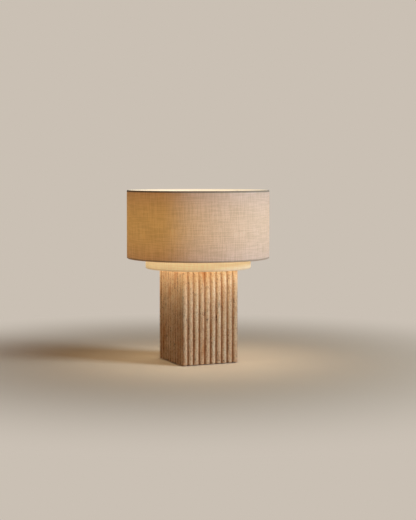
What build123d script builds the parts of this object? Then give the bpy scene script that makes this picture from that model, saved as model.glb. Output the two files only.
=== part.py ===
from build123d import *
import os
from math import sqrt

# Column table lamp: a reeded travertine column under a double linen drum shade.
# Millimetres. The origin is at the centre of the base, on the table, with +Z up.
# The column's faces are square to X and Y, the cable inlet is at the back (+Y).

os.makedirs("parts", exist_ok=True)

# ---------------------------------------------------------------- driving dimensions

# Fits
FIT = 0.1                    # clearance of pieces that only lie in or round each other
HEM_FIT = 0.35               # clearance of a ring in its hem
RUNNING = 0.05               # radial clearance of turning and screwed pieces
LAY = 0.3                    # gap left between pieces that barely touch

# Stone column
COLUMN_WIDTH = 150.0         # across the crests of the reeds
COLUMN_HEIGHT = 236.0
REEDS_PER_FACE = 10          # corner reeds belong to two faces
REED_OVERLAP = 1.1           # how far two neighbouring reeds cut into each other
REED_ROOT_RADIUS = 0.8       # softened groove between two reeds
ARRIS = 0.6                  # broken edge at the column's top
CORE_RADIUS = 46.0           # hollow core, open below
STONE_ROOF = 34.0            # stone above the core

# Feet and base cover
FOOT_GAP = 2.0               # height of the stone above the table
FOOT_SINK = 1.0
FOOT_RADIUS = 8.0
FOOT_INSET = 19.0            # a foot's centre behind the column's faces
COVER_RADIUS = 60.0
COVER_THICKNESS = 3.0
COVER_INSET = 1.5
COVER_GAP = 0.5
COVER_SCREWS = 4
SCREW_RADIUS = 2.0
SCREW_HEAD_RADIUS = 3.8
SCREW_LENGTH = 12.5
SOCKET_RADIUS = 1.25
SOCKET_DEPTH = 1.4
INSERT_RADIUS = 3.0
INSERT_LENGTH = 10.0
INSERT_END_GAP = 0.5

# Cable inlet
INLET_HEIGHT = 26.0
INLET_SEAT_DEPTH = 7.0       # flat seat behind the crests of the reeds
INLET_SEAT_RADIUS = 9.0
BUSHING_RADIUS = 6.0
BUSHING_BORE_RADIUS = 3.7
BUSHING_FLANGE_RADIUS = 8.5
BUSHING_FLANGE = 3.0
BUSHING_EDGE = 1.0
BUSHING_PAST_NUT = 3.0       # sleeve that shows past the locknut
LOCKNUT_HALF_FLATS = 8.0
LOCKNUT_THICKNESS = 4.0

# Terminal block and wires
BLOCK_LENGTH = 26.0
BLOCK_WIDTH = 16.0
BLOCK_HEIGHT = 13.0
BLOCK_Y = 12.0
BLOCK_WAY_X = 6.0            # the two ways lie at plus and minus this
BLOCK_WAY_Y = 4.0            # wires in front of the block's middle, screws behind it
BLOCK_SCREW_RADIUS = 2.0
BLOCK_SCREW_LENGTH = 5.0
WIRE_RADIUS = 1.1
WIRE_DEPTH = 3.0             # bared end held in a terminal
WIRE_SPACING = 1.4           # from the axis, inside the nipple
WIRE_RISE = 26.0             # straight stretch above the terminal block
WIRE_GATHER = 54.0           # below the core's roof, where the wires come to the axis
WIRE_SWEEP_RADIUS = 60.0
WIRE_TURN_RADIUS = 3.6

# Clamp stack
NIPPLE_RADIUS = 5.0
NIPPLE_BORE_RADIUS = 3.75
NIPPLE_BELOW = 10.0          # below the core's roof
NIPPLE_ABOVE = 7.0           # above the top plate
NIPPLE_HOLE_GAP = 0.3
CLAMP_WASHER_RADIUS = 15.0
CLAMP_WASHER = 2.0
CLAMP_NUT_HALF_FLATS = 7.0
CLAMP_NUT = 5.0
PLATE_RADIUS = 40.0
PLATE = 3.0
PLATE_EDGE = 1.0

# Lampholder
CUP_RADIUS = 21.0
CUP_HEIGHT = 21.0
CUP_FLOOR = 2.5
CUP_LEDGE_RADIUS = 17.0      # bore below the insulator
CUP_BORE_RADIUS = 19.0       # bore round the insulator
CUP_EDGE = 3.0
INSULATOR_SINK = 3.0
INSULATOR_HEIGHT = 11.0
FLANGE_RADIUS = 25.0
FLANGE_THICKNESS = 3.0
SHELL_LOWER_HEIGHT = 9.0     # from the cup to the flange
SKIRT_RADIUS = 19.8
SKIRT_HEIGHT = 26.0
SKIRT_BORE_RADIUS = 14.8
THREAD_PITCH = 2.5
THREAD_GROOVE = 0.5
SOCKET_SHELL_OUTER = 14.3
SOCKET_SHELL_INNER = 13.6
SOCKET_SHELL_LENGTH = 27.0
LEAF_THICKNESS = 0.6
LEAF_WIDTH = 4.0
LEAF_FOOT = 6.0
LEAF_HEIGHT = 5.2            # the contact's top above the insulator
HOLDER_TERMINAL = 5.0        # side of a terminal cube
HOLDER_TERMINAL_Y = 6.5

# Switch
SWITCH_HEIGHT = 11.0         # axis above the holder's bottom
SPINDLE_RADIUS = 1.75
ROTOR_RADIUS = 5.0
ROTOR_START = 7.0
ROTOR_WIDTH = 6.0
NOSE_RADIUS = 3.5
NOSE_START = 16.0
NOSE_END = 24.0
NOSE_FLANGE_RADIUS = 5.0
NOSE_FLANGE = 1.5
KNOB_RADIUS = 6.5
KNOB_LENGTH = 10.0
KNOB_SKIN = 3.0              # solid end of the knob
KNOB_FLUTES = 18
KNOB_FLUTE_RADIUS = 0.6
SWITCH_CONTACT_WIDTH = 4.0

# Shade fixing
FITTER_RADIUS = 33.0
FITTER_BORE_RADIUS = 20.2
FITTER = 1.5
SHADE_WASHER_RADIUS = 27.0
SHADE_WASHER = 1.5
SHADE_RING_RADIUS = 28.0
SHADE_RING_HEIGHT = 10.0
SHADE_RING_FLUTES = 24
SHADE_RING_FLUTE_RADIUS = 1.4

# Shade
OUTER_RADIUS = 176.0
INNER_RADIUS = 130.0
DRUM_HEIGHT = 168.0
SHADE_DROP = 43.5            # inner drum's lower edge below the holder's flange
SHADE_STEP = 24.5            # outer drum's lower edge above the inner one's
LINEN = 0.8
LINER = 0.4
FRAME_WIRE = 1.7             # radius of the rings
ARM_WIRE = 1.5               # radius of the arms and links
HEM = 9.0
HEM_LEAN_START = 0.4         # where the hem leaves the ring, in roll radii
HEM_LEAN_END = 1.85          # where it meets the liner, in roll radii
HEM_FOLD_RADIUS = 1.0
ROLL_ROUNDNESS = 0.97        # 1 would make the roll an exact half circle
SEAM_WIDTH = 0.6
SEAM_DEPTH = 0.3
ARMS = 3
ARM_ANGLE = 30.0             # first arm, from +X
ARM_START = 30.0
ARM_KNEE_INSET = 17.0        # where an arm turns down, inside the inner ring's line
ARM_KNEE_RADIUS = 12.0
LINK_RISE = 8.6              # above the inner ring before the link turns out
LINK_RISE_RADIUS = 4.0
LINK_ELBOW = 12.4            # inside the outer ring
LINK_ELBOW_DROP = 11.4       # below the outer ring
LINK_ELBOW_RADIUS = 9.0
NOTCH_GAP = 0.8

# Bulb
BULB_RADIUS = 30.0
BULB_LENGTH = 108.0
CAP_RADIUS = 13.2
CAP_THREAD_DEPTH = 0.9
CAP_THREAD_PITCH = 3.6
CAP_TURNS = 5
CAP_WALL = 0.6
CAP_START = 6.0              # above the tip
TIP_RADIUS = 4.5
TIP_HEIGHT = 1.5
NECK_RADIUS = 14.0
COLLAR_END = 64.5            # above the tip, where the globe begins
BULB_WALL = 1.2
BOARD = 1.5
BOARD_INSET = 1.8            # the collar narrows below its seam
BOARD_DEPTH = 3.0            # board's underside below the collar's seam
BOARD_SHELF = 4.0            # width of the shelf that carries the LED board
DRIVER_WIDTH = 18.0
DRIVER_LENGTH = 22.0
DRIVER = 1.6

# ---------------------------------------------------------------- worked-out places

column_bottom = FOOT_GAP
column_top = column_bottom + COLUMN_HEIGHT
core_roof = column_top - STONE_ROOF
reed_pitch = (COLUMN_WIDTH - REED_OVERLAP) / REEDS_PER_FACE
reed_radius = (reed_pitch + REED_OVERLAP) / 2
reed_line = COLUMN_WIDTH / 2 - reed_radius

cover_bottom = column_bottom + COVER_INSET
cover_top = cover_bottom + COVER_THICKNESS
screw_circle = (CORE_RADIUS + COVER_RADIUS) / 2
foot_offset = COLUMN_WIDTH / 2 - FOOT_INSET

inlet_seat = COLUMN_WIDTH / 2 - INLET_SEAT_DEPTH
locknut_corner = LOCKNUT_HALF_FLATS * 2 / sqrt(3)
locknut_seat = sqrt(CORE_RADIUS**2 - locknut_corner**2) - RUNNING
bushing_length = inlet_seat - locknut_seat + LOCKNUT_THICKNESS + BUSHING_PAST_NUT

plate_top = column_top + PLATE
cup_top = plate_top + CUP_HEIGHT
insulator_bottom = cup_top - INSULATOR_SINK
insulator_top = insulator_bottom + INSULATOR_HEIGHT
flange_bottom = cup_top + SHELL_LOWER_HEIGHT
flange_top = flange_bottom + FLANGE_THICKNESS
skirt_top = flange_top + SKIRT_HEIGHT
switch_height = plate_top + SWITCH_HEIGHT
nipple_top = plate_top + NIPPLE_ABOVE

fitter_top = flange_top + FITTER
washer_top = fitter_top + SHADE_WASHER

inner_bottom = flange_top - SHADE_DROP
outer_bottom = inner_bottom + SHADE_STEP
roll_radius = FRAME_WIRE + HEM_FIT + LINEN / 2
ring_inset = FRAME_WIRE + HEM_FIT + LINEN   # ring centre, from the drum's outside and from its edge

tip_bottom = insulator_top + LEAF_HEIGHT + LAY
bulb_top = tip_bottom + BULB_LENGTH
globe_centre = bulb_top - BULB_RADIUS
globe_bottom = tip_bottom + COLLAR_END
cap_bottom = tip_bottom + CAP_START
cap_top = cap_bottom + CAP_TURNS * CAP_THREAD_PITCH + CAP_THREAD_DEPTH


# ---------------------------------------------------------------- helpers

def finish(piece, name):
    """Label a finished piece and write it as parts/<name>.step."""
    piece.label = name
    export_step(piece, f"parts/{name}.step")


def washer(radius, bore, bottom, height):
    """A flat ring of the given radius and bore, standing on the height bottom."""
    with BuildPart() as disc:
        with BuildSketch(Plane.XY.offset(bottom)):
            Circle(radius)
            Circle(bore, mode=Mode.SUBTRACT)
        extrude(amount=height)
    return disc.part


def along_y(y):
    """A plane that faces +Y at the cable inlet, y from the column's axis."""
    return Plane(origin=(0, y, INLET_HEIGHT), x_dir=(1, 0, 0), z_dir=(0, 1, 0))


def along_x(x):
    """A plane that faces +X on the switch's axis, x from the holder's axis."""
    return Plane(origin=(x, 0, switch_height), x_dir=(0, 1, 0), z_dir=(1, 0, 0))


def bent_wire(points, bends, radius):
    """A round wire of the given radius along straight runs joined by arcs."""
    with BuildPart() as wire:
        with BuildLine() as route:
            FilletPolyline(*points, radius=bends)
        with BuildSketch(Plane(origin=route.line @ 0, z_dir=route.line % 0)):
            Circle(radius)
        sweep(path=route.line)
    return wire.part


# ---------------------------------------------------------------- stone column

def reed_centres():
    """Centres of all the reeds, each corner reed named once."""
    steps = [reed_pitch * i - reed_line for i in range(REEDS_PER_FACE - 1)]
    front_and_back = [(s * side, reed_line * side) for side in (-1, 1) for s in steps]
    left_and_right = [(reed_line * side, -s * side) for side in (-1, 1) for s in steps]
    return front_and_back + left_and_right


cover_screw_angle = 180 / COVER_SCREWS

with BuildPart() as stone_column:
    with BuildSketch(Plane.XY.offset(column_bottom)) as outline:
        Rectangle(2 * reed_line, 2 * reed_line)
        with Locations(*reed_centres()):
            Circle(reed_radius)
        roots = [
            v for v in outline.vertices()
            if max(abs(v.X), abs(v.Y)) < COLUMN_WIDTH / 2 - REED_ROOT_RADIUS
        ]
        fillet(roots, radius=REED_ROOT_RADIUS)
    extrude(amount=COLUMN_HEIGHT)
    chamfer(stone_column.faces().sort_by(Axis.Z)[-1].outer_wire().edges(), length=ARRIS)
    # Hollow core, with a recess for the base cover
    with BuildSketch(Plane.XY.offset(column_bottom)):
        Circle(CORE_RADIUS)
    extrude(amount=core_roof - column_bottom, mode=Mode.SUBTRACT)
    with BuildSketch(Plane.XY.offset(column_bottom)):
        Circle(COVER_RADIUS + COVER_GAP)
    extrude(amount=cover_top - column_bottom, mode=Mode.SUBTRACT)
    # Holes for the threaded inserts, recesses for the feet, hole for the nipple
    with BuildSketch(Plane.XY.offset(cover_top)):
        with PolarLocations(screw_circle, COVER_SCREWS, start_angle=cover_screw_angle):
            Circle(INSERT_RADIUS + RUNNING)
    extrude(amount=INSERT_LENGTH + INSERT_END_GAP, mode=Mode.SUBTRACT)
    with BuildSketch(Plane.XY.offset(column_bottom)):
        with GridLocations(2 * foot_offset, 2 * foot_offset, 2, 2):
            Circle(FOOT_RADIUS + FIT)
    extrude(amount=FOOT_SINK, mode=Mode.SUBTRACT)
    with BuildSketch(Plane.XY.offset(core_roof)):
        Circle(NIPPLE_RADIUS + NIPPLE_HOLE_GAP)
    extrude(amount=STONE_ROOF, mode=Mode.SUBTRACT)
    # Cable inlet at the back: a flat seat across the reeds and a hole into the core
    with BuildSketch(along_y(inlet_seat)):
        Circle(INLET_SEAT_RADIUS)
    extrude(amount=COLUMN_WIDTH / 2, mode=Mode.SUBTRACT)
    with BuildSketch(along_y(inlet_seat)):
        Circle(BUSHING_RADIUS + FIT)
    extrude(amount=-inlet_seat, mode=Mode.SUBTRACT)
finish(stone_column.part, "stone_column")

# ---------------------------------------------------------------- feet and base cover

with BuildPart() as foot_pads:
    with BuildSketch():
        with GridLocations(2 * foot_offset, 2 * foot_offset, 2, 2):
            Circle(FOOT_RADIUS)
    extrude(amount=FOOT_GAP + FOOT_SINK)
finish(foot_pads.part, "foot_pads")

screw_clear_radius = SCREW_RADIUS + 2 * FIT

with BuildPart() as base_cover:
    with BuildSketch(Plane.XY.offset(cover_bottom)):
        Circle(COVER_RADIUS)
    extrude(amount=COVER_THICKNESS)
    with Locations(Plane(origin=(0, 0, cover_bottom), x_dir=(1, 0, 0), z_dir=(0, 0, -1))):
        with PolarLocations(screw_circle, COVER_SCREWS, start_angle=cover_screw_angle):
            CounterSinkHole(
                radius=screw_clear_radius,
                counter_sink_radius=SCREW_HEAD_RADIUS + 2 * FIT,
                counter_sink_angle=90,
            )
finish(base_cover.part, "base_cover")

with BuildPart() as cover_screw:
    with BuildSketch(Plane.XZ):
        with BuildLine():
            Polyline(
                (0, cover_bottom),
                (SCREW_HEAD_RADIUS, cover_bottom),
                (SCREW_RADIUS, cover_bottom + SCREW_HEAD_RADIUS - SCREW_RADIUS),
                (SCREW_RADIUS, cover_bottom + SCREW_LENGTH),
                (0, cover_bottom + SCREW_LENGTH),
                close=True,
            )
        make_face()
    revolve(axis=Axis.Z)
    with BuildSketch(Plane.XY.offset(cover_bottom)):
        RegularPolygon(SOCKET_RADIUS, 6)
    extrude(amount=SOCKET_DEPTH, mode=Mode.SUBTRACT)

with BuildPart() as cover_screws:
    with PolarLocations(screw_circle, COVER_SCREWS, start_angle=cover_screw_angle):
        add(cover_screw.part)
finish(cover_screws.part, "cover_screws")

with BuildPart() as threaded_inserts:
    with BuildSketch(Plane.XY.offset(cover_top)):
        with PolarLocations(screw_circle, COVER_SCREWS, start_angle=cover_screw_angle):
            Circle(INSERT_RADIUS)
            Circle(SCREW_RADIUS + RUNNING, mode=Mode.SUBTRACT)
    extrude(amount=INSERT_LENGTH)
finish(threaded_inserts.part, "threaded_inserts")

# ---------------------------------------------------------------- cable inlet

with BuildPart() as cable_bushing:
    with BuildSketch(along_y(inlet_seat)):
        Circle(BUSHING_FLANGE_RADIUS)
    extrude(amount=BUSHING_FLANGE)
    fillet(cable_bushing.faces().sort_by(Axis.Y)[-1].edges(), radius=BUSHING_EDGE)
    with BuildSketch(along_y(inlet_seat)):
        Circle(BUSHING_RADIUS)
    extrude(amount=-bushing_length)
    with BuildSketch(along_y(inlet_seat + BUSHING_FLANGE)):
        Circle(BUSHING_BORE_RADIUS)
    extrude(amount=-bushing_length - BUSHING_FLANGE, mode=Mode.SUBTRACT)
finish(cable_bushing.part, "cable_bushing")

with BuildPart() as bushing_locknut:
    with BuildSketch(along_y(locknut_seat)):
        RegularPolygon(LOCKNUT_HALF_FLATS, 6, major_radius=False)
        Circle(BUSHING_RADIUS + RUNNING, mode=Mode.SUBTRACT)
    extrude(amount=-LOCKNUT_THICKNESS)
finish(bushing_locknut.part, "bushing_locknut")

# ---------------------------------------------------------------- terminal block and wires

block_top = cover_top + BLOCK_HEIGHT
wire_entry_y = BLOCK_Y - BLOCK_WAY_Y
block_screw_y = BLOCK_Y + BLOCK_WAY_Y

with BuildPart() as terminal_block:
    with BuildSketch(Plane.XY.offset(cover_top)):
        with Locations((0, BLOCK_Y)):
            Rectangle(BLOCK_LENGTH, BLOCK_WIDTH)
    extrude(amount=BLOCK_HEIGHT)
    with BuildSketch(Plane.XY.offset(block_top)):
        with Locations((-BLOCK_WAY_X, wire_entry_y), (BLOCK_WAY_X, wire_entry_y)):
            Circle(WIRE_RADIUS + FIT)
    extrude(amount=-WIRE_DEPTH, mode=Mode.SUBTRACT)
    with BuildSketch(Plane.XY.offset(block_top)):
        with Locations((-BLOCK_WAY_X, block_screw_y), (BLOCK_WAY_X, block_screw_y)):
            Circle(BLOCK_SCREW_RADIUS + RUNNING)
    extrude(amount=-BLOCK_SCREW_LENGTH, mode=Mode.SUBTRACT)
finish(terminal_block.part, "terminal_block")

with BuildPart() as terminal_screws:
    with BuildSketch(Plane.XY.offset(block_top)):
        with Locations((-BLOCK_WAY_X, block_screw_y), (BLOCK_WAY_X, block_screw_y)):
            Circle(BLOCK_SCREW_RADIUS)
    extrude(amount=-BLOCK_SCREW_LENGTH)
finish(terminal_screws.part, "terminal_screws")

holder_terminal_bottom = insulator_bottom - HOLDER_TERMINAL
wire_end = holder_terminal_bottom + HOLDER_TERMINAL / 2


def wire(side):
    """One wire, from the terminal block up through the nipple to its holder terminal."""
    near = side * WIRE_SPACING
    far = side * HOLDER_TERMINAL_Y
    turn_out = nipple_top + WIRE_RADIUS
    points = [
        (side * BLOCK_WAY_X, wire_entry_y, block_top - WIRE_DEPTH),
        (side * BLOCK_WAY_X, wire_entry_y, block_top + WIRE_RISE),
        (0, near, core_roof - WIRE_GATHER),
        (0, near, turn_out),
        (0, far, holder_terminal_bottom - WIRE_RADIUS),
        (0, far, wire_end),
    ]
    bends = [WIRE_SWEEP_RADIUS, WIRE_SWEEP_RADIUS, WIRE_TURN_RADIUS, WIRE_TURN_RADIUS]
    return bent_wire(points, bends, WIRE_RADIUS)


finish(wire(1), "live_wire")
finish(wire(-1), "neutral_wire")

# ---------------------------------------------------------------- clamp stack

nipple_bottom = core_roof - NIPPLE_BELOW
finish(washer(NIPPLE_RADIUS, NIPPLE_BORE_RADIUS, nipple_bottom, nipple_top - nipple_bottom), "nipple")

clamp_washer_bottom = core_roof - CLAMP_WASHER
finish(
    washer(CLAMP_WASHER_RADIUS, NIPPLE_RADIUS + FIT, clamp_washer_bottom, CLAMP_WASHER),
    "clamp_washer",
)

with BuildPart() as clamp_nut:
    with BuildSketch(Plane.XY.offset(clamp_washer_bottom)):
        RegularPolygon(CLAMP_NUT_HALF_FLATS, 6, major_radius=False)
        Circle(NIPPLE_RADIUS + RUNNING, mode=Mode.SUBTRACT)
    extrude(amount=-CLAMP_NUT)
finish(clamp_nut.part, "clamp_nut")

with BuildPart() as top_plate:
    with BuildSketch(Plane.XY.offset(column_top)):
        Circle(PLATE_RADIUS)
        Circle(NIPPLE_RADIUS + FIT, mode=Mode.SUBTRACT)
    extrude(amount=PLATE)
    fillet(top_plate.faces().sort_by(Axis.Z)[-1].outer_wire().edges(), radius=PLATE_EDGE)
finish(top_plate.part, "top_plate")

# ---------------------------------------------------------------- lampholder

with BuildPart() as holder_base:
    with BuildSketch(Plane.XY.offset(plate_top)):
        Circle(CUP_RADIUS)
    extrude(amount=CUP_HEIGHT)
    fillet(holder_base.faces().sort_by(Axis.Z)[0].edges(), radius=CUP_EDGE)
    with BuildSketch(Plane.XY.offset(plate_top + CUP_FLOOR)):
        Circle(CUP_LEDGE_RADIUS)
    extrude(amount=CUP_HEIGHT, mode=Mode.SUBTRACT)
    with BuildSketch(Plane.XY.offset(insulator_bottom)):
        Circle(CUP_BORE_RADIUS)
    extrude(amount=INSULATOR_SINK, mode=Mode.SUBTRACT)
    with BuildSketch(Plane.XY.offset(plate_top)):
        Circle(NIPPLE_RADIUS + RUNNING)
    extrude(amount=CUP_FLOOR, mode=Mode.SUBTRACT)
    with BuildSketch(along_x(0)):
        Circle(NOSE_RADIUS + RUNNING)
    extrude(amount=CUP_RADIUS, mode=Mode.SUBTRACT)
finish(holder_base.part, "holder_base")

insulator_radius = CUP_BORE_RADIUS - LAY
with BuildPart() as holder_insulator:
    with BuildSketch(Plane.XY.offset(insulator_bottom)):
        Circle(insulator_radius)
    extrude(amount=INSULATOR_HEIGHT)
finish(holder_insulator.part, "holder_insulator")

with BuildPart() as holder_shell:
    with BuildSketch(Plane.XY.offset(cup_top)):
        Circle(CUP_RADIUS)
    extrude(amount=SHELL_LOWER_HEIGHT)
    with BuildSketch(Plane.XY.offset(flange_bottom)):
        Circle(FLANGE_RADIUS)
    extrude(amount=FLANGE_THICKNESS)
    with BuildSketch(Plane.XY.offset(flange_top)):
        Circle(SKIRT_RADIUS)
    extrude(amount=SKIRT_HEIGHT)
    with BuildSketch(Plane.XY.offset(cup_top)):
        Circle(CUP_BORE_RADIUS)
    extrude(amount=insulator_top - cup_top, mode=Mode.SUBTRACT)
    with BuildSketch(Plane.XY.offset(insulator_top)):
        Circle(SKIRT_BORE_RADIUS)
    extrude(amount=skirt_top - insulator_top, mode=Mode.SUBTRACT)
    # Thread of the skirt, as closed grooves
    with BuildSketch(Plane.XZ):
        grooves = int((SKIRT_HEIGHT - SHADE_WASHER - FITTER) / THREAD_PITCH)
        for turn in range(grooves):
            groove_height = skirt_top - (turn + 1) * THREAD_PITCH
            with BuildLine():
                Polyline(
                    (SKIRT_RADIUS + THREAD_GROOVE, groove_height - 2 * THREAD_GROOVE),
                    (SKIRT_RADIUS - THREAD_GROOVE, groove_height),
                    (SKIRT_RADIUS + THREAD_GROOVE, groove_height + 2 * THREAD_GROOVE),
                    close=True,
                )
            make_face()
    revolve(axis=Axis.Z, mode=Mode.SUBTRACT)
finish(holder_shell.part, "holder_shell")

finish(
    washer(SOCKET_SHELL_OUTER, SOCKET_SHELL_INNER, insulator_top, SOCKET_SHELL_LENGTH),
    "screw_shell",
)

with BuildPart() as centre_contact:
    with BuildSketch(Plane.XZ):
        with BuildLine():
            half = LEAF_THICKNESS / 2
            foot_middle = insulator_top + half
            leaf_middle = insulator_top + LEAF_HEIGHT - half
            FilletPolyline(
                (LEAF_FOOT, foot_middle),
                (-LEAF_FOOT, foot_middle),
                (-LEAF_FOOT / 2, leaf_middle),
                (LEAF_FOOT / 2, leaf_middle),
                radius=LEAF_THICKNESS,
            )
        trace(line_width=LEAF_THICKNESS)
    extrude(amount=LEAF_WIDTH / 2, both=True)
finish(centre_contact.part, "centre_contact")

with BuildPart() as holder_terminals:
    with BuildSketch(Plane.XY.offset(holder_terminal_bottom)):
        with Locations((0, -HOLDER_TERMINAL_Y), (0, HOLDER_TERMINAL_Y)):
            Rectangle(HOLDER_TERMINAL, HOLDER_TERMINAL)
    extrude(amount=HOLDER_TERMINAL)
    with BuildSketch(Plane.XY.offset(holder_terminal_bottom)):
        with Locations((0, -HOLDER_TERMINAL_Y), (0, HOLDER_TERMINAL_Y)):
            Circle(WIRE_RADIUS + FIT)
    extrude(amount=HOLDER_TERMINAL / 2, mode=Mode.SUBTRACT)
finish(holder_terminals.part, "holder_terminals")

# ---------------------------------------------------------------- switch

with BuildPart() as switch_nose:
    with BuildSketch(along_x(NOSE_START)):
        Circle(NOSE_RADIUS)
    extrude(amount=NOSE_END - NOSE_START)
    with BuildSketch(along_x(CUP_RADIUS)):
        RegularPolygon(NOSE_FLANGE_RADIUS, 6)
    extrude(amount=NOSE_FLANGE)
    with BuildSketch(along_x(NOSE_START)):
        Circle(SPINDLE_RADIUS + RUNNING)
    extrude(amount=NOSE_END - NOSE_START, mode=Mode.SUBTRACT)
finish(switch_nose.part, "switch_nose")

knob_start = NOSE_END + LAY
knob_socket = KNOB_LENGTH - KNOB_SKIN

with BuildPart() as switch_spindle:
    with BuildSketch(along_x(ROTOR_START)):
        Circle(ROTOR_RADIUS)
        with Locations((0, ROTOR_RADIUS)):
            Rectangle(2 * ROTOR_RADIUS, ROTOR_RADIUS / 2, mode=Mode.SUBTRACT)
    extrude(amount=ROTOR_WIDTH)
    with BuildSketch(along_x(ROTOR_START + ROTOR_WIDTH)):
        Circle(SPINDLE_RADIUS)
    extrude(amount=knob_start + knob_socket - ROTOR_START - ROTOR_WIDTH)
finish(switch_spindle.part, "switch_spindle")

with BuildPart() as switch_knob:
    with BuildSketch(along_x(knob_start)):
        Circle(KNOB_RADIUS)
        with PolarLocations(KNOB_RADIUS, KNOB_FLUTES):
            Circle(KNOB_FLUTE_RADIUS, mode=Mode.SUBTRACT)
    extrude(amount=KNOB_LENGTH)
    with BuildSketch(along_x(knob_start)):
        Circle(SPINDLE_RADIUS + RUNNING)
    extrude(amount=knob_socket, mode=Mode.SUBTRACT)
finish(switch_knob.part, "switch_knob")

contact_height = switch_height - ROTOR_RADIUS - LAY - plate_top - CUP_FLOOR
with BuildPart() as switch_contact:
    with BuildSketch(Plane.XY.offset(plate_top + CUP_FLOOR)):
        with Locations((ROTOR_START + ROTOR_WIDTH / 2, 0)):
            Rectangle(ROTOR_WIDTH / 2, SWITCH_CONTACT_WIDTH)
    extrude(amount=contact_height)
finish(switch_contact.part, "switch_contact")

# ---------------------------------------------------------------- shade fixing

finish(washer(SHADE_WASHER_RADIUS, FITTER_BORE_RADIUS, fitter_top, SHADE_WASHER), "shade_washer")

with BuildPart() as shade_ring:
    with BuildSketch(Plane.XY.offset(washer_top)):
        Circle(SHADE_RING_RADIUS)
        Circle(SKIRT_RADIUS + RUNNING, mode=Mode.SUBTRACT)
        with PolarLocations(SHADE_RING_RADIUS, SHADE_RING_FLUTES):
            Circle(SHADE_RING_FLUTE_RADIUS, mode=Mode.SUBTRACT)
    extrude(amount=SHADE_RING_HEIGHT)
finish(shade_ring.part, "shade_ring")

# ---------------------------------------------------------------- shade frame

arm_height = flange_top + FITTER / 2
inner_wire = INNER_RADIUS - ring_inset
outer_wire = OUTER_RADIUS - ring_inset
inner_wire_low = inner_bottom + ring_inset
inner_wire_high = inner_bottom + DRUM_HEIGHT - ring_inset
outer_wire_low = outer_bottom + ring_inset
outer_wire_high = outer_bottom + DRUM_HEIGHT - ring_inset


def wire_ring(radius, height):
    """A closed ring of frame wire, its centre line at the given radius and height."""
    with BuildPart() as ring:
        with Locations((0, 0, height)):
            Torus(radius, FRAME_WIRE)
    return ring.part


shade_fitter = washer(FITTER_RADIUS, FITTER_BORE_RADIUS, flange_top, FITTER)
inner_bottom_ring = wire_ring(inner_wire, inner_wire_low)
inner_top_ring = wire_ring(inner_wire, inner_wire_high)
outer_bottom_ring = wire_ring(outer_wire, outer_wire_low)
outer_top_ring = wire_ring(outer_wire, outer_wire_high)

arm = bent_wire(
    [
        (ARM_START, 0, arm_height),
        (inner_wire - ARM_KNEE_INSET, 0, arm_height),
        (inner_wire, 0, inner_wire_low),
    ],
    [ARM_KNEE_RADIUS],
    ARM_WIRE,
)
link = bent_wire(
    [
        (inner_wire, 0, inner_wire_high),
        (inner_wire, 0, inner_wire_high + LINK_RISE),
        (outer_wire - LINK_ELBOW, 0, outer_wire_high - LINK_ELBOW_DROP),
        (outer_wire, 0, outer_wire_high),
    ],
    [LINK_RISE_RADIUS, LINK_ELBOW_RADIUS],
    ARM_WIRE,
)

# Arms from the fitter to the inner drum's lower ring, each end shaped to what it is brazed to
with BuildPart() as shade_arms:
    with PolarLocations(0, ARMS, start_angle=ARM_ANGLE):
        add(arm)
    add(shade_fitter, mode=Mode.SUBTRACT)
    add(inner_bottom_ring, mode=Mode.SUBTRACT)

# Links from the inner drum's upper ring to the outer drum's
with BuildPart() as shade_links:
    with PolarLocations(0, ARMS, start_angle=ARM_ANGLE):
        add(link)
    add(inner_top_ring, mode=Mode.SUBTRACT)
    add(outer_top_ring, mode=Mode.SUBTRACT)

finish(shade_fitter, "shade_fitter")
finish(shade_arms.part, "shade_arms")
finish(shade_links.part, "shade_links")
finish(inner_bottom_ring, "inner_bottom_ring")
finish(inner_top_ring, "inner_top_ring")
finish(outer_bottom_ring, "outer_bottom_ring")
finish(outer_top_ring, "outer_top_ring")

# ---------------------------------------------------------------- shade linen and liners

def drum_section(radius, bottom):
    """Middle line of a drum's linen, from the lower hem's fold to the upper hem's fold."""
    top = bottom + DRUM_HEIGHT
    wall = radius - LINEN / 2
    inside = wall - 2 * roll_radius
    fold = radius - 1.5 * LINEN - LINER - FIT
    low = bottom + ring_inset
    high = top - ring_inset
    return [
        (fold, bottom + HEM),
        (fold, low + HEM_LEAN_END * roll_radius),
        (inside, low + HEM_LEAN_START * roll_radius),
        (inside, bottom + LINEN / 2),
        (wall, bottom + LINEN / 2),
        (wall, top - LINEN / 2),
        (inside, top - LINEN / 2),
        (inside, high - HEM_LEAN_START * roll_radius),
        (fold, high - HEM_LEAN_END * roll_radius),
        (fold, top - HEM),
    ]


def linen_drum(radius, bottom, notches):
    """Linen of one drum, its hems rolled round the wire rings.

    Each notch is (least radius, greatest radius, low height, high height), cut at every arm's angle.
    """
    roll_bend = ROLL_ROUNDNESS * roll_radius
    bends = [HEM_FOLD_RADIUS] * 2 + [roll_bend] * 4 + [HEM_FOLD_RADIUS] * 2
    notch_width = 2 * (ARM_WIRE + NOTCH_GAP)
    with BuildPart() as drum:
        with BuildSketch(Plane.XZ):
            with BuildLine():
                FilletPolyline(*drum_section(radius, bottom), radius=bends)
            trace(line_width=LINEN)
        revolve(axis=Axis.Z)
        for near, far, low, high in notches:
            with BuildSketch(Plane.XY.offset(low)):
                with PolarLocations((near + far) / 2, ARMS, start_angle=ARM_ANGLE):
                    Rectangle(far - near, notch_width)
            extrude(amount=high - low, mode=Mode.SUBTRACT)
        # Edge of the lap seam, a fine line down the back
        with BuildSketch(Plane.XY.offset(bottom + 2 * ring_inset)):
            with Locations((0, radius)):
                Rectangle(SEAM_WIDTH, 2 * SEAM_DEPTH)
        extrude(amount=DRUM_HEIGHT - 4 * ring_inset, mode=Mode.SUBTRACT)
    return drum.part


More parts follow.
